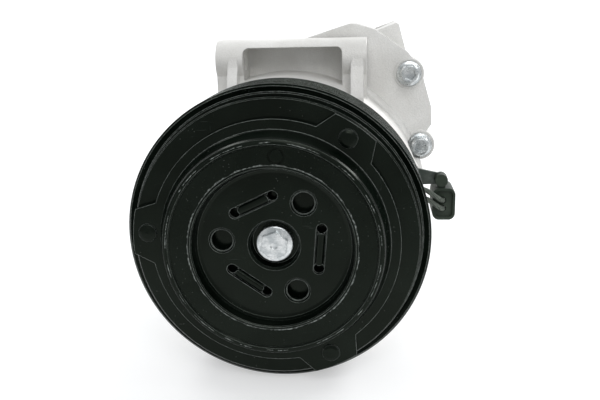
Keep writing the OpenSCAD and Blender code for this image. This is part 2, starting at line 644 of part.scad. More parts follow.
module orbiting_scroll() color([0.72, 0.73, 0.74]) translate([0, 0, orbit_r]) difference() {
    union() {
        rod_y(plate_r, orbit_back_y, wrap_y);
        rod_y(boss_r, boss_y, orbit_back_y + 1);
        slab_y(wrap_y - 1, wrap_tip_y) rotate(180) wrap(wrap_t);
    }
    rod_y(bush_r + running_gap + orbit_bush_t + fit_gap, boss_y - 1, orbit_back_y);
    for (a = orbit_pin_angles) at_angle(a, orbit_pin_circle)
        rod_y(orbit_ring_in + orbit_ring_wall + fit_gap, orbit_back_y - 1, orbit_back_y + orbit_ring_depth);
    slab_y(wrap_tip_y - 1.5, wrap_tip_y + 1) rotate(180) wrap_groove(1.4, 30);
}

module orbiting_tip_seal() color([0.25, 0.22, 0.2]) translate([0, 0, orbit_r])
    slab_y(wrap_tip_y - 1.45, wrap_tip_y + 0.05) rotate(180) wrap_groove(1.3, 45);

module orbit_bush() color("darkgoldenrod") translate([0, 0, orbit_r])
    tube_y(bush_r + running_gap, bush_r + running_gap + orbit_bush_t, boss_y + 0.2, orbit_back_y - 0.5);

module orbit_rings() color("silver") translate([0, 0, orbit_r]) for (a = orbit_pin_angles)
    at_angle(a, orbit_pin_circle)
        tube_y(orbit_ring_in, orbit_ring_in + orbit_ring_wall, orbit_back_y + 0.1, orbit_back_y + orbit_ring_depth - fit_gap);

module orbit_pins() color("silver") for (a = orbit_pin_angles) at_angle(a, orbit_pin_circle)
    rod_y(orbit_pin_r, thrust_y + 0.2, orbit_back_y + orbit_ring_depth - 0.6);

module thrust_plate() color("lightsteelblue") difference() {
    tube_y(boss_r + orbit_r + 1, thrust_r, thrust_y, thrust_y + thrust_t);
    for (a = orbit_pin_angles) at_angle(a, orbit_pin_circle) rod_y(orbit_pin_r + fit_gap, thrust_y - 1, thrust_y + thrust_t + 1);
}

module fixed_scroll() color([0.78, 0.79, 0.8]) difference() {
    union() {
        tube_y(scroll_bore_r, scroll_r, joint_y + gasket_t + 0.2, fixed_back_y);
        rod_y(scroll_r, fixed_plate_y, fixed_back_y);
        slab_y(wrap_y + tip_gap, fixed_plate_y + 1) wrap(wrap_t);
    }
    rod_y(discharge_hole_r, fixed_plate_y - 1, fixed_back_y + 1);
    tube_y(scroll_r - 2, scroll_r + 1, fixed_back_y - 6, fixed_back_y - 3);
    slab_y(wrap_y, wrap_y + tip_gap + 1.5) wrap_groove(1.4, 30);
    translate([0, 0, -reed_screw_z]) rod_y(2 + fit_gap, fixed_back_y - 7, fixed_back_y + 1);
}
module fixed_tip_seal() color([0.25, 0.22, 0.2])
    slab_y(wrap_y + tip_gap - 0.05, wrap_y + tip_gap + 1.45) wrap_groove(1.3, 45);

module fixed_scroll_oring() color([0.1, 0.1, 0.1])
    tube_y(scroll_r - 1.95, scroll_r + 0.02, fixed_back_y - 5.7, fixed_back_y - 3.3);

module reed_shape(w) union() {
    circle(r = 7);
    translate([-w / 2, -reed_screw_z]) square([w, reed_screw_z]);
    translate([0, -reed_screw_z]) circle(r = 5);
}

module discharge_reed() color("steelblue") difference() {
    slab_y(fixed_back_y + fit_gap, fixed_back_y + 0.4) reed_shape(8);
    translate([0, 0, -reed_screw_z]) rod_y(2 + fit_gap, fixed_back_y - 1, fixed_back_y + 2);
}

// The stop lies on the reed at the screw and stands off it over the port
module reed_stop() color("gray") difference() {
    slab_x(-4.5, 4.5) polygon([[fixed_back_y + 0.42, -reed_screw_z - 5], [fixed_back_y + 0.42, -reed_screw_z + 6],
        [fixed_back_y + 2.6, 7], [fixed_back_y + 5, 7], [fixed_back_y + 2.8, -reed_screw_z + 6],
        [fixed_back_y + 2.8, -reed_screw_z - 5]]);
    translate([0, 0, -reed_screw_z]) rod_y(2 + fit_gap, fixed_back_y - 1, fixed_back_y + 4);
}

module reed_screw() color("lightgray") translate([0, 0, -reed_screw_z]) {
    rod_y(2, fixed_back_y - 6.8, fixed_back_y + 3);
    rod_y(3.8, fixed_back_y + 2.82, fixed_back_y + 6);
}

// ---- Housings ----
// Everything in front of a plane across the shaft, or behind it
module in_front_of(y) translate([-150, y - 60, -150]) cube([300, 60, 300]);
module behind(y) translate([-150, y, -150]) cube([300, 60, 300]);

// The bolt ears of a housing flange, and its horn beside the ports
module flange_ears(y0, y1) {
    for (p = bolt_polar) at_angle(p[0], barrel_r + p[1]) rod_y(bolt_boss_r, y0 - ear_step, y1 + ear_step);
    for (a = dowel_angles) at_angle(a, barrel_r - 1) rod_y(6, y0 + ear_step, y1 - ear_step);
    slab_y(y0, y1) polygon([[-30, 50], [-30, horn_z - 18.4], [horn_x - 5.3, horn_z - 1.4], [horn_x - 2.2, horn_z - 0.5],
        [horn_x + 0.9, horn_z - 0.65], [horn_x + 9.6, horn_z - 3.3], [horn_x + 24.9, horn_z - 14.1],
        [horn_x + 31, horn_z - 22], [horn_x + 36, horn_z - 39.5], [horn_x + 36.3, horn_z - 48],
        [horn_x + 33, horn_z - 52.5], [horn_x + 20, 10], [0, 0]]);
}

module bolt_holes(r, y0, y1) for (p = bolt_polar) at_angle(p[0], barrel_r + p[1]) rod_y(r, y0, y1);
module dowel_holes(r, y0, y1) for (a = dowel_angles) at_angle(a, barrel_r - 1) rod_y(r, y0, y1);

module upper_lug() {
    slab_x(lug_left, lug_right) union() {
        translate([lug_y, lug_z]) circle(r = lug_r);
        translate([lug_y, 45]) square([lug_back_y - lug_y, lug_top - 45]);
        translate([lug_y - lug_r + 2.5, 45]) square([lug_r, lug_z - 45 - 5]);
    }
    gusset(pocket_left - 6.8, pocket_left - 2.2, lug_z + 4.6);
    gusset(pocket_right + 3.8, lug_right - 1.4, lug_z + 4.2);
}

// A gusset rib between the neck and the front of the lug, with a pointed top
module gusset(x0, x1, top) intersection() {
    slab_x(x0, x1) polygon([[lug_y, 40], [22, 40], [24, 52], [27.2, 60], [lug_y - lug_r - 0.9, top - 7],
        [lug_y - lug_r + 0.4, top - 2], [lug_y - lug_r + 2, top + 1], [lug_y, top + 1]]);
    slab_y(20, lug_y + 2) polygon([[x0 - 1, 38], [x0 - 1, top - 9], [x0 + 0.6, top - 4], [(x0 + x1) / 2, top],
        [x1 - 0.6, top - 4], [x1 + 1, top - 9], [x1 + 1, 38]]);
}

module pocket_shape() translate([(pocket_left + pocket_right) / 2, (barrel_r - 12 + lug_top - pocket_roof) / 2])
    rounded_plate(pocket_right - pocket_left, lug_top - pocket_roof - barrel_r + 12, pocket_corner);

module front_housing() color([0.74, 0.73, 0.7]) difference() {
    union() {
        turned([[0, nose_end_y], [nose_r - 0.6, nose_end_y], [nose_r, nose_end_y + 0.6], [nose_r, shoulder_y],
            [nose_r + 3, shoulder_y], [nose_r + 3, shoulder_y + 1.2], [coil_boss_r, shoulder_y + 1.2],
            [coil_boss_r, coil_face_y], [coil_out - 1, coil_face_y], [coil_out + 1, coil_face_y + 2],
            [barrel_r - 6.5, 22], [barrel_r - 2, 29], [barrel_r - 0.5, 31.5], [barrel_r, 33.5],
            [barrel_r, joint_y + 3], [0, joint_y + 3]]);
        flange_ears(flange_front_y, joint_y + 2);
        intersection() {
            turned([[barrel_r - 5, flange_front_y - 4], [barrel_r + 1, flange_front_y - 4],
                [barrel_r + 2.6, flange_front_y - 2.4], [barrel_r + 2.6, flange_front_y + 1],
                [barrel_r - 5, flange_front_y + 1]]);
            translate([10, 0, 10]) cube([80, 80, 80]);
        }
        upper_lug();
        translate([0, front_lug_y, lower_lug_z]) rod_x(lug_r, lug_left, lug_right);
        translate([bracket_boss_x, 0, bracket_boss_z]) rod_y(6.5, 20, bracket_y + bracket_t + 12);
    }
    turned([[0, nose_end_y - 1], [nose_bore_r, nose_end_y - 1], [nose_bore_r, seal_seat_y],
        [seal_shaft_r + 2.5, seal_seat_y], [seal_shaft_r + 2.5, bearing_y - 1], [main_bearing_out - 4, bearing_y - 1],
        [main_bearing_out - 4, bearing_y], [main_bearing_out, bearing_y], [main_bearing_out, bearing_back_y + 0.6],
        [cavity_r, bearing_back_y + 0.6], [cavity_r, thrust_y - fit_gap], [thrust_r + fit_gap, thrust_y - fit_gap],
        [thrust_r + fit_gap, joint_y + 4], [0, joint_y + 4]]);
    behind(joint_y);
    tube_y(nose_r - 1.2, nose_r + 3, pulley_bearing_y - 1.5, pulley_bearing_y);
    tube_y(coil_boss_r - 1, coil_boss_r + 3, coil_face_y - coil_plate_t - 1.4, coil_face_y - coil_plate_t);
    tube_y(5, nose_bore_r + 0.9, seal_seat_y - 9, seal_seat_y - 7.55);
    intersection() {
        slab_y(10, pocket_back_y) pocket_shape();
        difference() {
            translate([-60, 20, 0]) cube([120, 40, 120]);
            rod_y(barrel_r, 10, 60);
        }
    }
    translate([0, lug_y, lug_z]) rod_x(lug_bore_r, lug_left - 1, lug_right + 1);
    translate([0, front_lug_y, lower_lug_z]) rod_x(lug_bore_r, -barrel_r, barrel_r);
    translate([lead_x - 3, coil_face_y - 1, notch_z0]) cube([30, 11.5, notch_z1 - notch_z0]);
    translate([bracket_boss_x, 0, bracket_boss_z]) rod_y(8, 10, bracket_y - 1);
    translate([bracket_boss_x - 14, bracket_y - 8, bracket_boss_z - 7.5]) cube([40, 8 + bracket_t + 2, 15]);
    translate([bracket_boss_x, 0, bracket_boss_z]) rod_y(bracket_screw_r + fit_gap, bracket_y, bracket_y + 12);
    bolt_holes(bolt_r + 0.3, flange_front_y - 1, joint_y + 1);
    bolt_holes(bolt_head_r + 1.6, flange_front_y - 12, bolt_seat_y);
    dowel_holes(dowel_r + fit_gap, joint_y - 5.2, joint_y + 1);
    at_ports() translate([gallery_u, 0, gallery_v]) rod_y(gallery_r, gallery_front_y, joint_y + 1);
    at_angle(port_tilt + atan2(gallery_v, gallery_u), 0)
        translate([thrust_r - 1, gallery_front_y, -gallery_r + 0.5])
            cube([norm([gallery_u, gallery_v]) - thrust_r + 1, joint_y + 1 - gallery_front_y, 2 * gallery_r - 1]);
}

module housing_gasket() color([0.3, 0.32, 0.3]) difference() {
    union() {
        rod_y(barrel_r, joint_y - 3, rear_y + 3);
        flange_ears(joint_y - 2, rear_y + 2);
    }
    in_front_of(joint_y + fit_gap);
    behind(rear_y - fit_gap);
    rod_y(scroll_r + 0.4, joint_y - 4, rear_y + 4);
    bolt_holes(bolt_r + 0.3, joint_y - 1, rear_y + 1);
    dowel_holes(dowel_r + 0.1, joint_y - 1, rear_y + 1);
    at_ports() translate([gallery_u, 0, gallery_v]) rod_y(gallery_r, joint_y - 1, rear_y + 1);
}

module rear_housing() color([0.74, 0.73, 0.7]) difference() {
    union() {
        turned([[0, rear_y - 3], [barrel_r, rear_y - 3], [barrel_r, rear_y + flange_t + 1],
            [rear_r, rear_y + flange_t + 2],
            [rear_r, chamber_y - 1], [rear_r - 1, chamber_y + 1],
            [tail_r + 1, chamber_y + 6], [tail_r, chamber_y + 8], [tail_r, chamber_end_y + 1],
            [tail_r - 1.5, rear_end_y - 2], [tail_r - 4, rear_end_y], [0, rear_end_y]]);
        flange_ears(rear_y - 2, rear_y + flange_t);
        bolt_bosses();
        port_block();
        translate([0, rear_lug_y, lower_lug_z]) rod_x(lug_r, lug_left, lug_right);
        slab_x(lug_left + 8, lug_right - 8) translate([rear_lug_y - 4, lower_lug_z - 2])
            square([8, lug_web_top - lower_lug_z + 2]);
        for (a = [100, 200, 240]) at_angle(a, 0)
            translate([tail_r - 8, chamber_y + 2, -2]) cube([rear_r - tail_r + 7.2, chamber_len - 3, 4]);
        translate([valve_x, 0, valve_z]) rod_y(9, rear_end_y - 2, rear_end_y + 2.5);
        translate([0, plug_seat_y, oil_plug_z]) rod_x(8, -tail_r - 1.5, -tail_r + 10);
    }
    in_front_of(rear_y);
    turned([[0, rear_y - 4], [scroll_r + fit_gap, rear_y - 4], [scroll_r + fit_gap, fixed_back_y + fit_gap],
        [chamber_r, fixed_back_y + fit_gap], [chamber_r, chamber_end_y], [0, chamber_end_y]]);
    bolt_holes(bolt_r + fit_gap, rear_y - 1, rear_y + bolt_reach + 1);
    dowel_holes(dowel_r + fit_gap, rear_y - 1, rear_y + 5.2);
    translate([0, rear_lug_y, lower_lug_z]) rod_x(lug_bore_r, lug_left - 1, lug_right + 1);
    at_ports() {
        translate([gallery_u, 0, gallery_v]) rod_y(gallery_r, rear_y - 1, port_y + 2);
        translate([suction_u, port_y, port_face - port_depth]) cylinder(r = suction_r, h = port_depth + 1);
        translate([suction_u, port_y, gallery_v - 4]) cylinder(r = screen_r + fit_gap, h = port_face - port_depth - gallery_v + 5);
        translate([discharge_u, port_y, port_face - port_depth]) cylinder(r = discharge_r, h = port_depth + 1);
        translate([discharge_u, port_y, discharge_v - 3]) cylinder(r = 5, h = port_face - port_depth - discharge_v + 4);
        translate([discharge_u, 0, discharge_v]) rod_y(gas_way_r, port_y, discharge_drop_y + 2);
        translate([discharge_u, discharge_drop_y, 10]) cylinder(r = gas_way_r + 0.5, h = discharge_v - 9);
        translate([stud_u, port_y, port_face - stud_hole_depth]) cylinder(r = stud_hole_r, h = stud_hole_depth + 1);
    }
    translate([valve_x, 0, valve_z]) rod_y(valve_r + fit_gap, chamber_end_y - 1, rear_end_y + 4);
    translate([0, plug_seat_y, oil_plug_z]) rod_x(oil_plug_r + fit_gap, -tail_r - 3, -chamber_r + 3);
}

module bolt_bosses() for (p = bolt_polar) at_angle(p[0], barrel_r + p[1])
    rod_y(bolt_boss_r - 0.4, rear_y + 1, rear_y + bolt_reach + 3);

// The port block's face is flat, and its sides run down into the housing
module port_block() at_ports() slab_y(rear_y + 2, block_y1) polygon([[block_left, 20], [block_left, port_face],
    [block_right - 1, port_face], [block_right, port_face - 1], [block_right - 1.5, port_face - 22],
    [block_right - 14, 8], [scroll_r, 0], [0, 0]]);

module housing_bolts() color("gainsboro") for (p = bolt_polar) at_angle(p[0], barrel_r + p[1]) difference() {
    turned([[0, bolt_seat_y - bolt_head_h], [bolt_head_r - 0.7, bolt_seat_y - bolt_head_h],
        [bolt_head_r, bolt_seat_y - bolt_head_h + 0.7], [bolt_head_r, bolt_seat_y - 1.6],
        [bolt_head_r + 1.2, bolt_seat_y - 1.2], [bolt_head_r + 1.2, bolt_seat_y - fit_gap],
        [bolt_r, bolt_seat_y - fit_gap], [bolt_r, rear_y + bolt_reach], [0, rear_y + bolt_reach]]);
    translate([0, bolt_seat_y - bolt_head_h - 1, 0]) rotate([-90, 0, 0]) cylinder(r = 2.9, h = 4, $fn = 6);
}

module suction_screen() color("silver") at_ports() translate([suction_u, port_y, 0]) difference() {
    translate([0, 0, gallery_v - 3]) cylinder(r = screen_r, h = port_face - port_depth - gallery_v + 2.8);
    translate([0, 0, gallery_v - 2.4]) cylinder(r = screen_r - 0.6, h = port_face);
    for (v = [0 : 3]) for (a = [0, 60, 120]) rotate(a)
        translate([-9, -0.9, gallery_v - 1 + v * 2]) cube([18, 1.8, 1]);
}

module relief_valve() color("goldenrod") translate([valve_x, 0, valve_z]) difference() {
    union() {
        rod_y(valve_r, chamber_end_y + 0.5, rear_end_y + 2.6);
        translate([0, rear_end_y + 2.55, 0]) rotate([-90, 0, 0]) cylinder(r = 8.1, h = 5, $fn = 6);
        rod_y(4.4, rear_end_y + 7, rear_end_y + 12);
    }
    rod_y(1.6, chamber_end_y, rear_end_y + 13);
}

module oil_plug() color("silver") translate([0, plug_seat_y, oil_plug_z]) difference() {
    union() {
        rod_x(7.2, -tail_r - 4.5, -tail_r - 1.5 - fit_gap);
        rod_x(oil_plug_r, -tail_r - 2, -tail_r + 5);
    }
    translate([-tail_r - 5, 0, 0]) rotate([0, 90, 0]) cylinder(r = 3.4, h = 3.4, $fn = 6);
}

module locating_dowels() color("silver") dowel_holes(dowel_r, joint_y - 5, rear_y + 5);

pulley();
pulley_bearing_outer_race();
pulley_bearing_inner_race();
pulley_bearing_balls();
pulley_bearing_cage();
pulley_bearing_seals();
pulley_snap_ring();
coil_housing();
coil_winding();
coil_snap_ring();
coil_leads();
connector_body();
connector_pins();
connector_bracket();
bracket_screw();
armature_plate();
damper_cup();
damper_rubber();
clutch_rivets();
hub_dish();
gap_shims();
clutch_bolt();
drive_shaft();
shaft_seal();
seal_snap_ring();
main_bearing_outer_race();
main_bearing_inner_race();
main_bearing_balls();
main_bearing_cage();
counterweight();
drive_bush();
orbit_bush();
orbiting_scroll();
orbit_rings();
orbit_pins();
orbiting_tip_seal();
thrust_plate();
fixed_scroll();
fixed_tip_seal();
fixed_scroll_oring();
discharge_reed();
reed_stop();
reed_screw();
front_housing();
housing_gasket();
rear_housing();
housing_bolts();
suction_screen();
relief_valve();
oil_plug();
locating_dowels();
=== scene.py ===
"""Looks of a belt-driven car air-conditioning compressor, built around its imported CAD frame."""
import json
import math
import random

import bmesh
import bpy
from mathutils import Matrix, Vector


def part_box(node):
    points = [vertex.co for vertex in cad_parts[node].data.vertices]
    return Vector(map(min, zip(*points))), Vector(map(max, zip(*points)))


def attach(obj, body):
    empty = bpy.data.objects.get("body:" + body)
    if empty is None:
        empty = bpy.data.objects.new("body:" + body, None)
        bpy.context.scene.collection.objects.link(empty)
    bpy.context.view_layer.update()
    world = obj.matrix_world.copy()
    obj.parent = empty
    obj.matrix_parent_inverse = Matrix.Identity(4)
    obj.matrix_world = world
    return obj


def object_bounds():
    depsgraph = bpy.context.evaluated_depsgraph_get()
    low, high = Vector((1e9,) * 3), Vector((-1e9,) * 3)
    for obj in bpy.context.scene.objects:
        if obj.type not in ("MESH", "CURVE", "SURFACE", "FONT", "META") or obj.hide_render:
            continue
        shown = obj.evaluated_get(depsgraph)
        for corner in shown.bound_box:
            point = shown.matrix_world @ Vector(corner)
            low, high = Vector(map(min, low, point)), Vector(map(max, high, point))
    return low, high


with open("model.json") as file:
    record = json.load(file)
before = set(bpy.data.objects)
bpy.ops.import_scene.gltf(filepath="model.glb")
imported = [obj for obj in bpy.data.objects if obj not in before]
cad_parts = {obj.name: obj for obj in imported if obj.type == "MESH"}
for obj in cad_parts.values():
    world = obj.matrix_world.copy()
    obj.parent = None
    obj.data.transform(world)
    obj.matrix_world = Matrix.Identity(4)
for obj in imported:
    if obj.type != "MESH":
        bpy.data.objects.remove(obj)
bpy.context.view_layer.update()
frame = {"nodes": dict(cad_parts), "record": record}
random.seed(7)
MM = 0.001
# Specular tint of the black paint and rubber, which shine slightly green
GREEN_SHEEN = (0.88, 1.0, 0.84)


# ---------------------------------------------------------------- node helpers
class Finish:
    """One procedural material: a Principled shader and the node patterns that feed it.

    Patterns lie in object coordinates, in metres, so a scale of 1000 makes features about 1 mm wide.
    """

    def __init__(self, name, metallic=0.0, specular=0.5, tint=(1, 1, 1)):
        self.material = bpy.data.materials.new(name)
        self.material.use_nodes = True
        self.nodes = self.material.node_tree.nodes
        self.links = self.material.node_tree.links
        self.shader = self.nodes["Principled BSDF"]
        self.shader.inputs["Metallic"].default_value = metallic
        self.shader.inputs["Specular IOR Level"].default_value = specular
        self.shader.inputs["Specular Tint"].default_value = (*tint, 1)
        self.place = self.nodes.new("ShaderNodeTexCoord").outputs["Object"]
        self.normal = None

    def feed(self, value, socket):
        """Links a node's output to a socket, or sets the socket to a plain value."""
        if hasattr(value, "is_output"):
            self.links.new(value, socket)
        else:
            socket.default_value = value

    def stretched(self, stretch, turn):
        """The object's coordinates, turned and scaled unevenly, for grain with a direction."""
        mapping = self.nodes.new("ShaderNodeMapping")
        mapping.inputs["Rotation"].default_value = [math.radians(a) for a in turn]
        mapping.inputs["Scale"].default_value = stretch
        self.links.new(self.place, mapping.inputs["Vector"])
        return mapping.outputs["Vector"]

    def noise(self, scale, detail=3.0, rough=0.55, place=None, distortion=0.0):
        node = self.nodes.new("ShaderNodeTexNoise")
        self.links.new(place or self.place, node.inputs["Vector"])
        node.inputs["Scale"].default_value = scale
        node.inputs["Detail"].default_value = detail
        node.inputs["Roughness"].default_value = rough
        node.inputs["Distortion"].default_value = distortion
        return node.outputs["Fac"]

    def cells(self, scale, feature="F1"):
        node = self.nodes.new("ShaderNodeTexVoronoi")
        node.feature = feature
        self.links.new(self.place, node.inputs["Vector"])
        node.inputs["Scale"].default_value = scale
        return node.outputs["Distance"]

    def ramp(self, value, low, high, start=0.0, end=1.0):
        """Maps value from low..high to start..end, held at both ends."""
        node = self.nodes.new("ShaderNodeMapRange")
        node.interpolation_type = "SMOOTHSTEP"
        self.links.new(value, node.inputs["Value"])
        limits = {"From Min": low, "From Max": high, "To Min": start, "To Max": end}
        for name, number in limits.items():
            node.inputs[name].default_value = number
        return node.outputs["Result"]

    def math(self, operation, a, b=0.0):
        node = self.nodes.new("ShaderNodeMath")
        node.operation = operation
        self.feed(a, node.inputs[0])
        self.feed(b, node.inputs[1])
        return node.outputs["Value"]

    def blend(self, share, a, b):
        """Colour a where share is 0 and colour b where it is 1."""
        node = self.nodes.new("ShaderNodeMix")
        node.data_type = "RGBA"
        self.feed(share, node.inputs["Factor"])
        self.feed(a if hasattr(a, "is_output") else (*a, 1), node.inputs["A"])
        self.feed(b if hasattr(b, "is_output") else (*b, 1), node.inputs["B"])
        return node.outputs["Result"]

    def bump(self, height, depth, strength):
        """Adds relief of the given depth, in metres, on top of any relief so far."""
        node = self.nodes.new("ShaderNodeBump")
        node.inputs["Distance"].default_value = depth
        node.inputs["Strength"].default_value = strength
        self.links.new(height, node.inputs["Height"])
        if self.normal:
            self.links.new(self.normal, node.inputs["Normal"])
        self.normal = node.outputs["Normal"]

    def soften_edges(self, radius):
        """Rounds the shading of sharp edges, and returns where those edges are, from 0 to 1."""
        bevel = self.nodes.new("ShaderNodeBevel")
        bevel.samples = 6
        bevel.inputs["Radius"].default_value = radius
        self.normal = bevel.outputs["Normal"]
        dot = self.nodes.new("ShaderNodeVectorMath")
        dot.operation = "DOT_PRODUCT"
        self.links.new(self.normal, dot.inputs[0])
        self.links.new(self.nodes.new("ShaderNodeNewGeometry").outputs["Normal"], dot.inputs[1])
        return self.ramp(dot.outputs["Value"], 0.80, 0.985, 1, 0)

    def turning_marks(self, pitch):
        """Height of the fine rings that a lathe leaves about the shaft axis, on faces and walls alike."""
        split = self.nodes.new("ShaderNodeSeparateXYZ")
        self.links.new(self.place, split.inputs["Vector"])
        across = self.math("MULTIPLY", split.outputs["X"], split.outputs["X"])
        up = self.math("MULTIPLY", split.outputs["Z"], split.outputs["Z"])
        radius = self.math("SQRT", self.math("ADD", across, up))
        node = self.nodes.new("ShaderNodeTexNoise")
        node.noise_dimensions = "1D"
        node.inputs["Scale"].default_value = 1 / pitch
        node.inputs["Detail"].default_value = 2
        self.links.new(self.math("ADD", radius, split.outputs["Y"]), node.inputs["W"])
        return node.outputs["Fac"]

    def done(self, colour, roughness):
        """Sets colour and roughness, applies the relief so far and returns the material."""
        opaque = colour if hasattr(colour, "is_output") else (*colour, 1)
        self.feed(opaque, self.shader.inputs["Base Color"])
        self.feed(roughness, self.shader.inputs["Roughness"])
        if self.normal:
            self.links.new(self.normal, self.shader.inputs["Normal"])
        return self.material


# ------------------------------------------------------------------- materials
def gloss_black():
    """Thin gloss e-coat on steel: slow waves, dust specks, hairline scratches and a painted highlight along
    the edges.
    """
    f = Finish("black_paint", specular=0.15, tint=GREEN_SHEEN)
    edge = f.soften_edges(0.0005)
    dust = f.ramp(f.cells(520), 0.05, 0.10, 1, 0)
    dust = f.math("MULTIPLY", dust, f.ramp(f.noise(60, 2), 0.50, 0.62))
    hair = f.ramp(f.noise(90, 4, 0.7, f.stretched((1, 1, 14), (0, 35, 0))), 0.66, 0.69)
    cross_hair = f.ramp(f.noise(80, 4, 0.7, f.stretched((16, 1, 1), (0, 20, 0))), 0.67, 0.70)
    scratch = f.math("MULTIPLY", f.math("MAXIMUM", hair, cross_hair), f.ramp(f.noise(30), 0.45, 0.6))
    cloud = f.ramp(f.noise(45, 3), 0.35, 0.7)
    # Sharp edges painted pale grey and broken up by noise: a painted highlight standing in for light caught
    # on the rounded edges.
    painted_edge_highlight = f.math("MULTIPLY", edge, f.ramp(f.noise(420, 4, 0.7), 0.36, 0.58, 0.45, 1))
    colour = f.blend(cloud, (0.0012, 0.0026, 0.0016), (0.0034, 0.0056, 0.0040))
    colour = f.blend(f.math("MULTIPLY", scratch, 0.5), colour, (0.045, 0.05, 0.047))
    colour = f.blend(f.math("MULTIPLY", painted_edge_highlight, 0.8), colour, (0.34, 0.37, 0.35))
    colour = f.blend(f.math("MULTIPLY", dust, 0.7), colour, (0.13, 0.135, 0.125))
    f.bump(f.noise(260, 2), 0.00006, 0.35)
    f.bump(f.turning_marks(0.0006), 0.00004, 0.6)
    f.bump(dust, 0.00005, 0.6)
    haze = f.ramp(f.noise(120, 4), 0.3, 0.7, 0.13, 0.22)
    return f.done(colour, f.math("ADD", haze, f.math("MULTIPLY", dust, 0.4)))


def flaked_paint():
    """Grey broken paint and rubber flash along an edge."""
    f = Finish("flaked_paint")
    chips = f.ramp(f.noise(900, 4, 0.7), 0.40, 0.62)
    colour = f.blend(chips, (0.010, 0.015, 0.011), (0.24, 0.265, 0.25))
    f.bump(f.noise(1500, 3), 0.00012, 0.8)
    return f.done(colour, f.ramp(chips, 0, 1, 0.22, 0.42))


def cast_aluminium():
    """Die-cast aluminium, shot blasted: an even grain of small dents over slow tone changes."""
    f = Finish("cast_alu", metallic=0.30, specular=0.35)
    edge = f.soften_edges(0.0008)
    dents = f.cells(1500, "SMOOTH_F1")
    grain = f.noise(2600, 3, 0.6)
    cloud = f.ramp(f.noise(38, 4, 0.6), 0.3, 0.72)
    stain = f.ramp(f.noise(85, 5, 0.65, distortion=0.6), 0.60, 0.76)
    colour = f.blend(cloud, (0.70, 0.69, 0.665), (0.84, 0.835, 0.815))
    colour = f.blend(f.math("MULTIPLY", f.ramp(grain, 0.3, 0.7), 0.30), colour, (0.52, 0.515, 0.495))
    colour = f.blend(f.math("MULTIPLY", stain, 0.28), colour, (0.42, 0.405, 0.37))
    # Sharp edges painted lighter: a painted highlight along them.
    colour = f.blend(f.math("MULTIPLY", edge, 0.35), colour, (0.86, 0.855, 0.84))
    f.bump(dents, 0.00022, 0.45)
    f.bump(grain, 0.00012, 0.5)
    return f.done(colour, f.ramp(grain, 0.3, 0.75, 0.50, 0.68))


def metal(name, dark, light, rough, mark_pitch=None, spots=0.25):
    """A worked metal: tone drift, fine grain, small stains and, where it was turned, lathe rings."""
    f = Finish(name, metallic=1.0)
    depth = 0.00003
    f.soften_edges(0.0003)
    drift = f.ramp(f.noise(70, 4, 0.6), 0.3, 0.7)
    fine = f.noise(1400, 3, 0.6)
    stain = f.ramp(f.noise(210, 4, 0.7), 0.60, 0.72)
    colour = f.blend(drift, dark, light)
    colour = f.blend(f.math("MULTIPLY", stain, spots), colour, [c * 0.45 for c in dark])
    f.bump(fine, depth, 0.5)
    if mark_pitch:
        f.bump(f.turning_marks(mark_pitch), depth, 0.7)
    polish = f.ramp(fine, 0.3, 0.7, rough * 0.8, rough * 1.25)
    return f.done(colour, f.math("ADD", polish, f.math("MULTIPLY", stain, 0.12)))


def zinc():
    """Bright zinc plate with brushed streaks across the wrench faces."""
    f = Finish("zinc", metallic=1.0)
    f.soften_edges(0.0005)
    streak = f.noise(320, 4, 0.7, f.stretched((1, 1, 7), (0, 25, 0)))
    drift = f.ramp(f.noise(240, 3), 0.35, 0.65)
    nick = f.ramp(f.noise(700, 3, 0.7), 0.64, 0.70)
    colour = f.blend(drift, (0.50, 0.53, 0.54), (0.80, 0.82, 0.82))
    colour = f.blend(f.math("MULTIPLY", f.ramp(streak, 0.45, 0.7), 0.45), colour, (0.36, 0.38, 0.39))
    colour = f.blend(f.math("MULTIPLY", nick, 0.6), colour, (0.14, 0.145, 0.15))
    f.bump(streak, 0.00005, 0.5)
    f.bump(nick, 0.00004, 0.6)
    return f.done(colour, f.ramp(streak, 0.3, 0.75, 0.20, 0.40))


def moulded(name, dark, light, rough, grain, depth, speck=None, speck_share=0.5, specular=0.4,
            tint=(1, 1, 1)):
    """Moulded plastic or rubber: flow clouding, a fine moulded grain and pale dust."""
    f = Finish(name, specular=specular, tint=tint)
    f.soften_edges(0.0004)
    cloud = f.ramp(f.noise(60, 4, 0.6), 0.3, 0.7)
    fine = f.noise(grain, 3, 0.6)
    colour = f.blend(cloud, dark, light)
    if speck:
        dust = f.ramp(f.cells(620), 0.06, 0.13, 1, 0)
        dust = f.math("MULTIPLY", dust, f.ramp(f.noise(75, 2), 0.46, 0.60))
        colour = f.blend(f.math("MULTIPLY", dust, speck_share), colour, speck)
    f.bump(fine, depth, 0.6)
    return f.done(colour, f.ramp(fine, 0.3, 0.7, rough * 0.85, rough * 1.15))


def wound_copper():
    """Enamelled wire wound about the shaft axis: fine turns seen as rings."""
    f = Finish("copper", metallic=0.9)
    turns = f.nodes.new("ShaderNodeTexWave")
    turns.wave_type = "RINGS"
    turns.rings_direction = "Y"
    turns.inputs["Scale"].default_value = 420
    turns.inputs["Distortion"].default_value = 0.3
    f.links.new(f.place, turns.inputs["Vector"])
    drift = f.ramp(f.noise(90, 3), 0.35, 0.7)
    colour = f.blend(drift, (0.30, 0.085, 0.03), (0.55, 0.19, 0.08))
    f.bump(turns.outputs["Fac"], 0.0002, 0.8)
    return f.done(colour, f.ramp(drift, 0, 1, 0.25, 0.4))


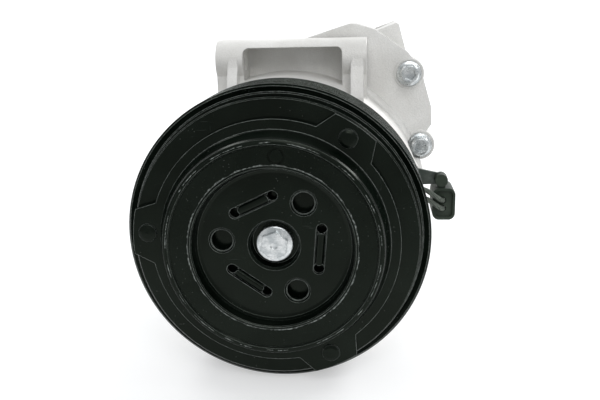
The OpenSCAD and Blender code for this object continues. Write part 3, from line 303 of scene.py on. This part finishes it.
def wire_sleeve():
    """Grey-green woven sleeve on a lead."""
    f = Finish("wire", specular=0.35)
    twill = f.nodes.new("ShaderNodeTexWave")
    twill.bands_direction = "DIAGONAL"
    twill.inputs["Scale"].default_value = 480
    twill.inputs["Distortion"].default_value = 1.2
    f.links.new(f.place, twill.inputs["Vector"])
    cross = f.cells(1500)
    colour = f.blend(twill.outputs["Fac"], (0.030, 0.040, 0.032), (0.115, 0.135, 0.110))
    colour = f.blend(f.math("MULTIPLY", f.ramp(cross, 0.1, 0.6), 0.35), colour, (0.20, 0.22, 0.19))
    f.bump(twill.outputs["Fac"], 0.0002, 0.9)
    f.bump(cross, 0.0001, 0.6)
    return f.done(colour, f.ramp(cross, 0, 0.6, 0.5, 0.75))


FINISHES = {
    "black_paint": gloss_black(),
    "cast_alu": cast_aluminium(),
    "machined_alu": metal("machined_alu", (0.60, 0.60, 0.59), (0.78, 0.78, 0.77), 0.30, 0.0005, spots=0.12),
    "zinc": zinc(),
    "bearing_steel": metal("bearing_steel", (0.46, 0.47, 0.48), (0.64, 0.65, 0.66), 0.16, 0.0004, spots=0.1),
    # Near black like black phosphate, and also made this dark as painted shade for what shows through the
    # dish holes.
    "spring_steel": metal("spring_steel", (0.03, 0.031, 0.033), (0.075, 0.076, 0.08), 0.34, spots=0.3),
    "shaft_steel": metal("shaft_steel", (0.40, 0.40, 0.40), (0.58, 0.58, 0.57), 0.26, 0.0006),
    "rubber": moulded("rubber", (0.0016, 0.0030, 0.0020), (0.0040, 0.0060, 0.0045), 0.24, 900, 0.00005,
                      (0.12, 0.13, 0.12), 0.6, specular=0.13, tint=GREEN_SHEEN),
    "seal_rubber": moulded("seal_rubber", (0.010, 0.010, 0.010), (0.022, 0.021, 0.020), 0.55, 1600, 0.00008),
    "coil_case": metal("coil_case", (0.33, 0.31, 0.22), (0.52, 0.49, 0.37), 0.34, 0.0007, spots=0.35),
    "copper": wound_copper(),
    "wire": wire_sleeve(),
    "connector": moulded("connector", (0.022, 0.032, 0.022), (0.055, 0.070, 0.052), 0.48, 1700, 0.00007,
                         (0.25, 0.27, 0.23), 0.5, specular=0.2),
    "bracket": metal("bracket", (0.085, 0.10, 0.09), (0.17, 0.19, 0.17), 0.42, spots=0.4),
    "pins": metal("pins", (0.62, 0.61, 0.58), (0.80, 0.79, 0.76), 0.22, spots=0.1),
    "cage": moulded("cage", (0.20, 0.15, 0.085), (0.33, 0.26, 0.16), 0.5, 1500, 0.00006),
    "bronze": metal("bronze", (0.36, 0.21, 0.085), (0.58, 0.37, 0.17), 0.30, 0.0006),
    "gasket": moulded("gasket", (0.10, 0.105, 0.11), (0.17, 0.175, 0.18), 0.6, 1500, 0.00010),
    "tip_seal": moulded("tip_seal", (0.045, 0.038, 0.030), (0.095, 0.08, 0.062), 0.5, 1500, 0.00006),
    "brass": metal("brass", (0.52, 0.40, 0.16), (0.76, 0.60, 0.29), 0.26, 0.0006),
}

for part in frame["record"]["subparts"]:
    mesh = frame["nodes"][part["node"]].data
    mesh.materials.clear()
    mesh.materials.append(FINISHES[part["material_slot"]])


# ---------------------------------------------------------------- mesh helpers
def mesh_object(name, bm, material):
    """Makes a smooth-shaded object from a bmesh and frees the bmesh."""
    mesh = bpy.data.meshes.new(name)
    bm.to_mesh(mesh)
    bm.free()
    mesh.materials.append(material)
    for face in mesh.polygons:
        face.use_smooth = True
    made = bpy.data.objects.new(name, mesh)
    bpy.context.scene.collection.objects.link(made)
    return made


def tube_along(bm, points, radii, sides):
    """A round tube through points, capped at both ends; radii gives its radius at each point."""
    rings = []
    for i, point in enumerate(points):
        ahead = points[min(i + 1, len(points) - 1)]
        behind = points[max(i - 1, 0)]
        along = (ahead - behind).normalized()
        reference = Vector((0, 1, 0)) if abs(along.y) < 0.9 else Vector((0, 0, 1))
        across = along.cross(reference).normalized()
        up = across.cross(along).normalized()
        ring = []
        for k in range(sides):
            angle = math.tau * k / sides
            spoke = across * math.cos(angle) + up * math.sin(angle)
            ring.append(bm.verts.new(point + spoke * radii[i]))
        rings.append(ring)
    for a, b in zip(rings, rings[1:]):
        for k in range(sides):
            bm.faces.new((a[k], a[(k + 1) % sides], b[(k + 1) % sides], b[k]))
    bm.faces.new(list(reversed(rings[0])))
    bm.faces.new(rings[-1])


def polar(radius, degrees, y):
    """A point at an angle about the shaft axis, counted from +X towards +Z."""
    a = math.radians(degrees)
    return Vector((radius * math.cos(a), y, radius * math.sin(a)))


# ------------------------------------------------------- places from the frame
LIP_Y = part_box("damper_cup")[0].y
CUP_LIP_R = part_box("damper_rubber")[1].x + 1.5 * MM
DISH_RIM_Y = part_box("hub_dish")[0].y
DISH_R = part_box("hub_dish")[1].x


# -------------------------------------------------- detail pieces on the clutch
def ragged_ring(name, radius, y, size, step_deg, widest_gap):
    """A bead of paint or rubber flash round an edge, rough and broken where it chipped away."""
    bm = bmesh.new()
    shortest_run, longest_run, narrowest_gap = 9, 34, 0.3
    end = 360 - step_deg
    angle = 0.0
    while angle < end:
        run = random.uniform(shortest_run, longest_run)
        if angle + run > end:
            run = end - angle
        stops = max(3, int(run / step_deg))
        points = []
        radii = []
        for i in range(stops):
            off_radius = random.uniform(-0.35, 0.35) * size
            off_y = random.uniform(-0.1, 0.1) * size
            points.append(polar(radius + off_radius, angle + run * i / (stops - 1), y + off_y))
            taper = min(1, 3 * i / stops + 0.25, 3 * (stops - 1 - i) / stops + 0.25)
            radii.append(size * random.uniform(0.45, 1.0) * taper)
        tube_along(bm, points, radii, sides=6)
        angle += run + random.uniform(narrowest_gap, widest_gap)
    piece = mesh_object(name, bm, FLAKED)
    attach(piece, "armature")


FLAKED = flaked_paint()
LIP_BEAD = 0.26 * MM
DISH_BEAD = 0.38 * MM
ragged_ring("cup_lip_flash", CUP_LIP_R, LIP_Y + 0.12 * MM, LIP_BEAD,
            step_deg=1.4, widest_gap=2.5)
ragged_ring("dish_rim_flash", DISH_R + 0.15 * MM, DISH_RIM_Y + 0.40 * MM, DISH_BEAD,
            step_deg=1.2, widest_gap=1.2)

# ------------------------------------------------------ stage, lights, camera
FLOOR_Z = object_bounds()[0].z


def studio_white():
    """White board, brighter far behind the object and darker at the front of the table."""
    f = Finish("studio_white", specular=0.05)
    split = f.nodes.new("ShaderNodeSeparateXYZ")
    f.links.new(f.place, split.inputs["Vector"])
    front = f.ramp(split.outputs["Y"], -0.42, -0.05, 1, 0)
    far = f.ramp(split.outputs["Y"], 0.1, 1.1)
    mottle = f.ramp(f.noise(3, 2), 0.3, 0.7)
    board = f.blend(mottle, (0.60, 0.605, 0.61), (0.63, 0.635, 0.64))
    glow = f.blend(far, (0.44, 0.44, 0.44), (0.66, 0.66, 0.66))
    f.feed(f.blend(front, glow, (0.16, 0.16, 0.16)), f.shader.inputs["Emission Color"])
    f.shader.inputs["Emission Strength"].default_value = 1.0
    return f.done(f.blend(front, board, (0.34, 0.34, 0.34)), 0.8)


def sweep():
    """A pale floor that curves up into a back wall a long way behind the object."""
    bm = bmesh.new()
    front, back, half = -2.2, 1.6, 3.2
    bend, bend_steps, height = 0.6, 12, 2.2
    profile = [(front, 0.0), (back - bend, 0.0)]
    for i in range(1, bend_steps + 1):
        a = math.pi / 2 * i / bend_steps
        profile.append((back - bend + bend * math.sin(a), bend - bend * math.cos(a)))
    profile.append((back, height))
    rows = [[bm.verts.new((x, y, FLOOR_Z + z)) for x in (-half, half)] for y, z in profile]
    for a, b in zip(rows, rows[1:]):
        bm.faces.new((a[0], a[1], b[1], b[0]))
    mesh_object("floor", bm, studio_white())


def softbox(name, place, aim, size, power):
    """A rectangular lamp at place, facing aim; size is its width and height, and power its watts."""
    light = bpy.data.lights.new(name, "AREA")
    light.shape = "RECTANGLE"
    light.size, light.size_y = size
    light.energy = power
    lamp = bpy.data.objects.new(name, light)
    bpy.context.scene.collection.objects.link(lamp)
    lamp.location = place
    lamp.rotation_euler = (Vector(aim) - Vector(place)).to_track_quat("-Z", "Y").to_euler()


sweep()
world = bpy.data.worlds.new("studio")
bpy.context.scene.world = world
world.use_nodes = True
background = world.node_tree.nodes["Background"]
background.inputs["Color"].default_value = (0.96, 0.98, 1.0, 1)
background.inputs["Strength"].default_value = 0.56

softbox("key_right", (1.0, 0.58, 0.87), aim=(0, 0, 0), size=(0.6, 0.4), power=8.5)
softbox("key_left", (-0.70, 0.35, 1.05), aim=(0, 0, 0), size=(0.5, 0.35), power=4)
softbox("front_fill", (0.25, -1.1, 1.0), aim=(0, 0, 0.02), size=(1.0, 0.7), power=8)

camera_data = bpy.data.cameras.new("camera")
camera_data.lens = 43.92
camera_data.sensor_width = 36
camera_data.clip_start = 0.01
camera = bpy.data.objects.new("camera", camera_data)
bpy.context.scene.collection.objects.link(camera)
CAMERA_RIGHT = Vector((0.99551, 0.0914, -0.02438))
CAMERA_UP = Vector((0, 0.2578, 0.96616))
CAMERA_PLACE = Vector((0.037589, -0.295810, 0.091402))
camera_axes = Matrix((CAMERA_RIGHT, CAMERA_UP, CAMERA_RIGHT.cross(CAMERA_UP))).transposed()
camera.matrix_world = Matrix.Translation(CAMERA_PLACE) @ camera_axes.to_4x4()
bpy.context.scene.camera = camera
bpy.context.scene.view_settings.view_transform = "Standard"
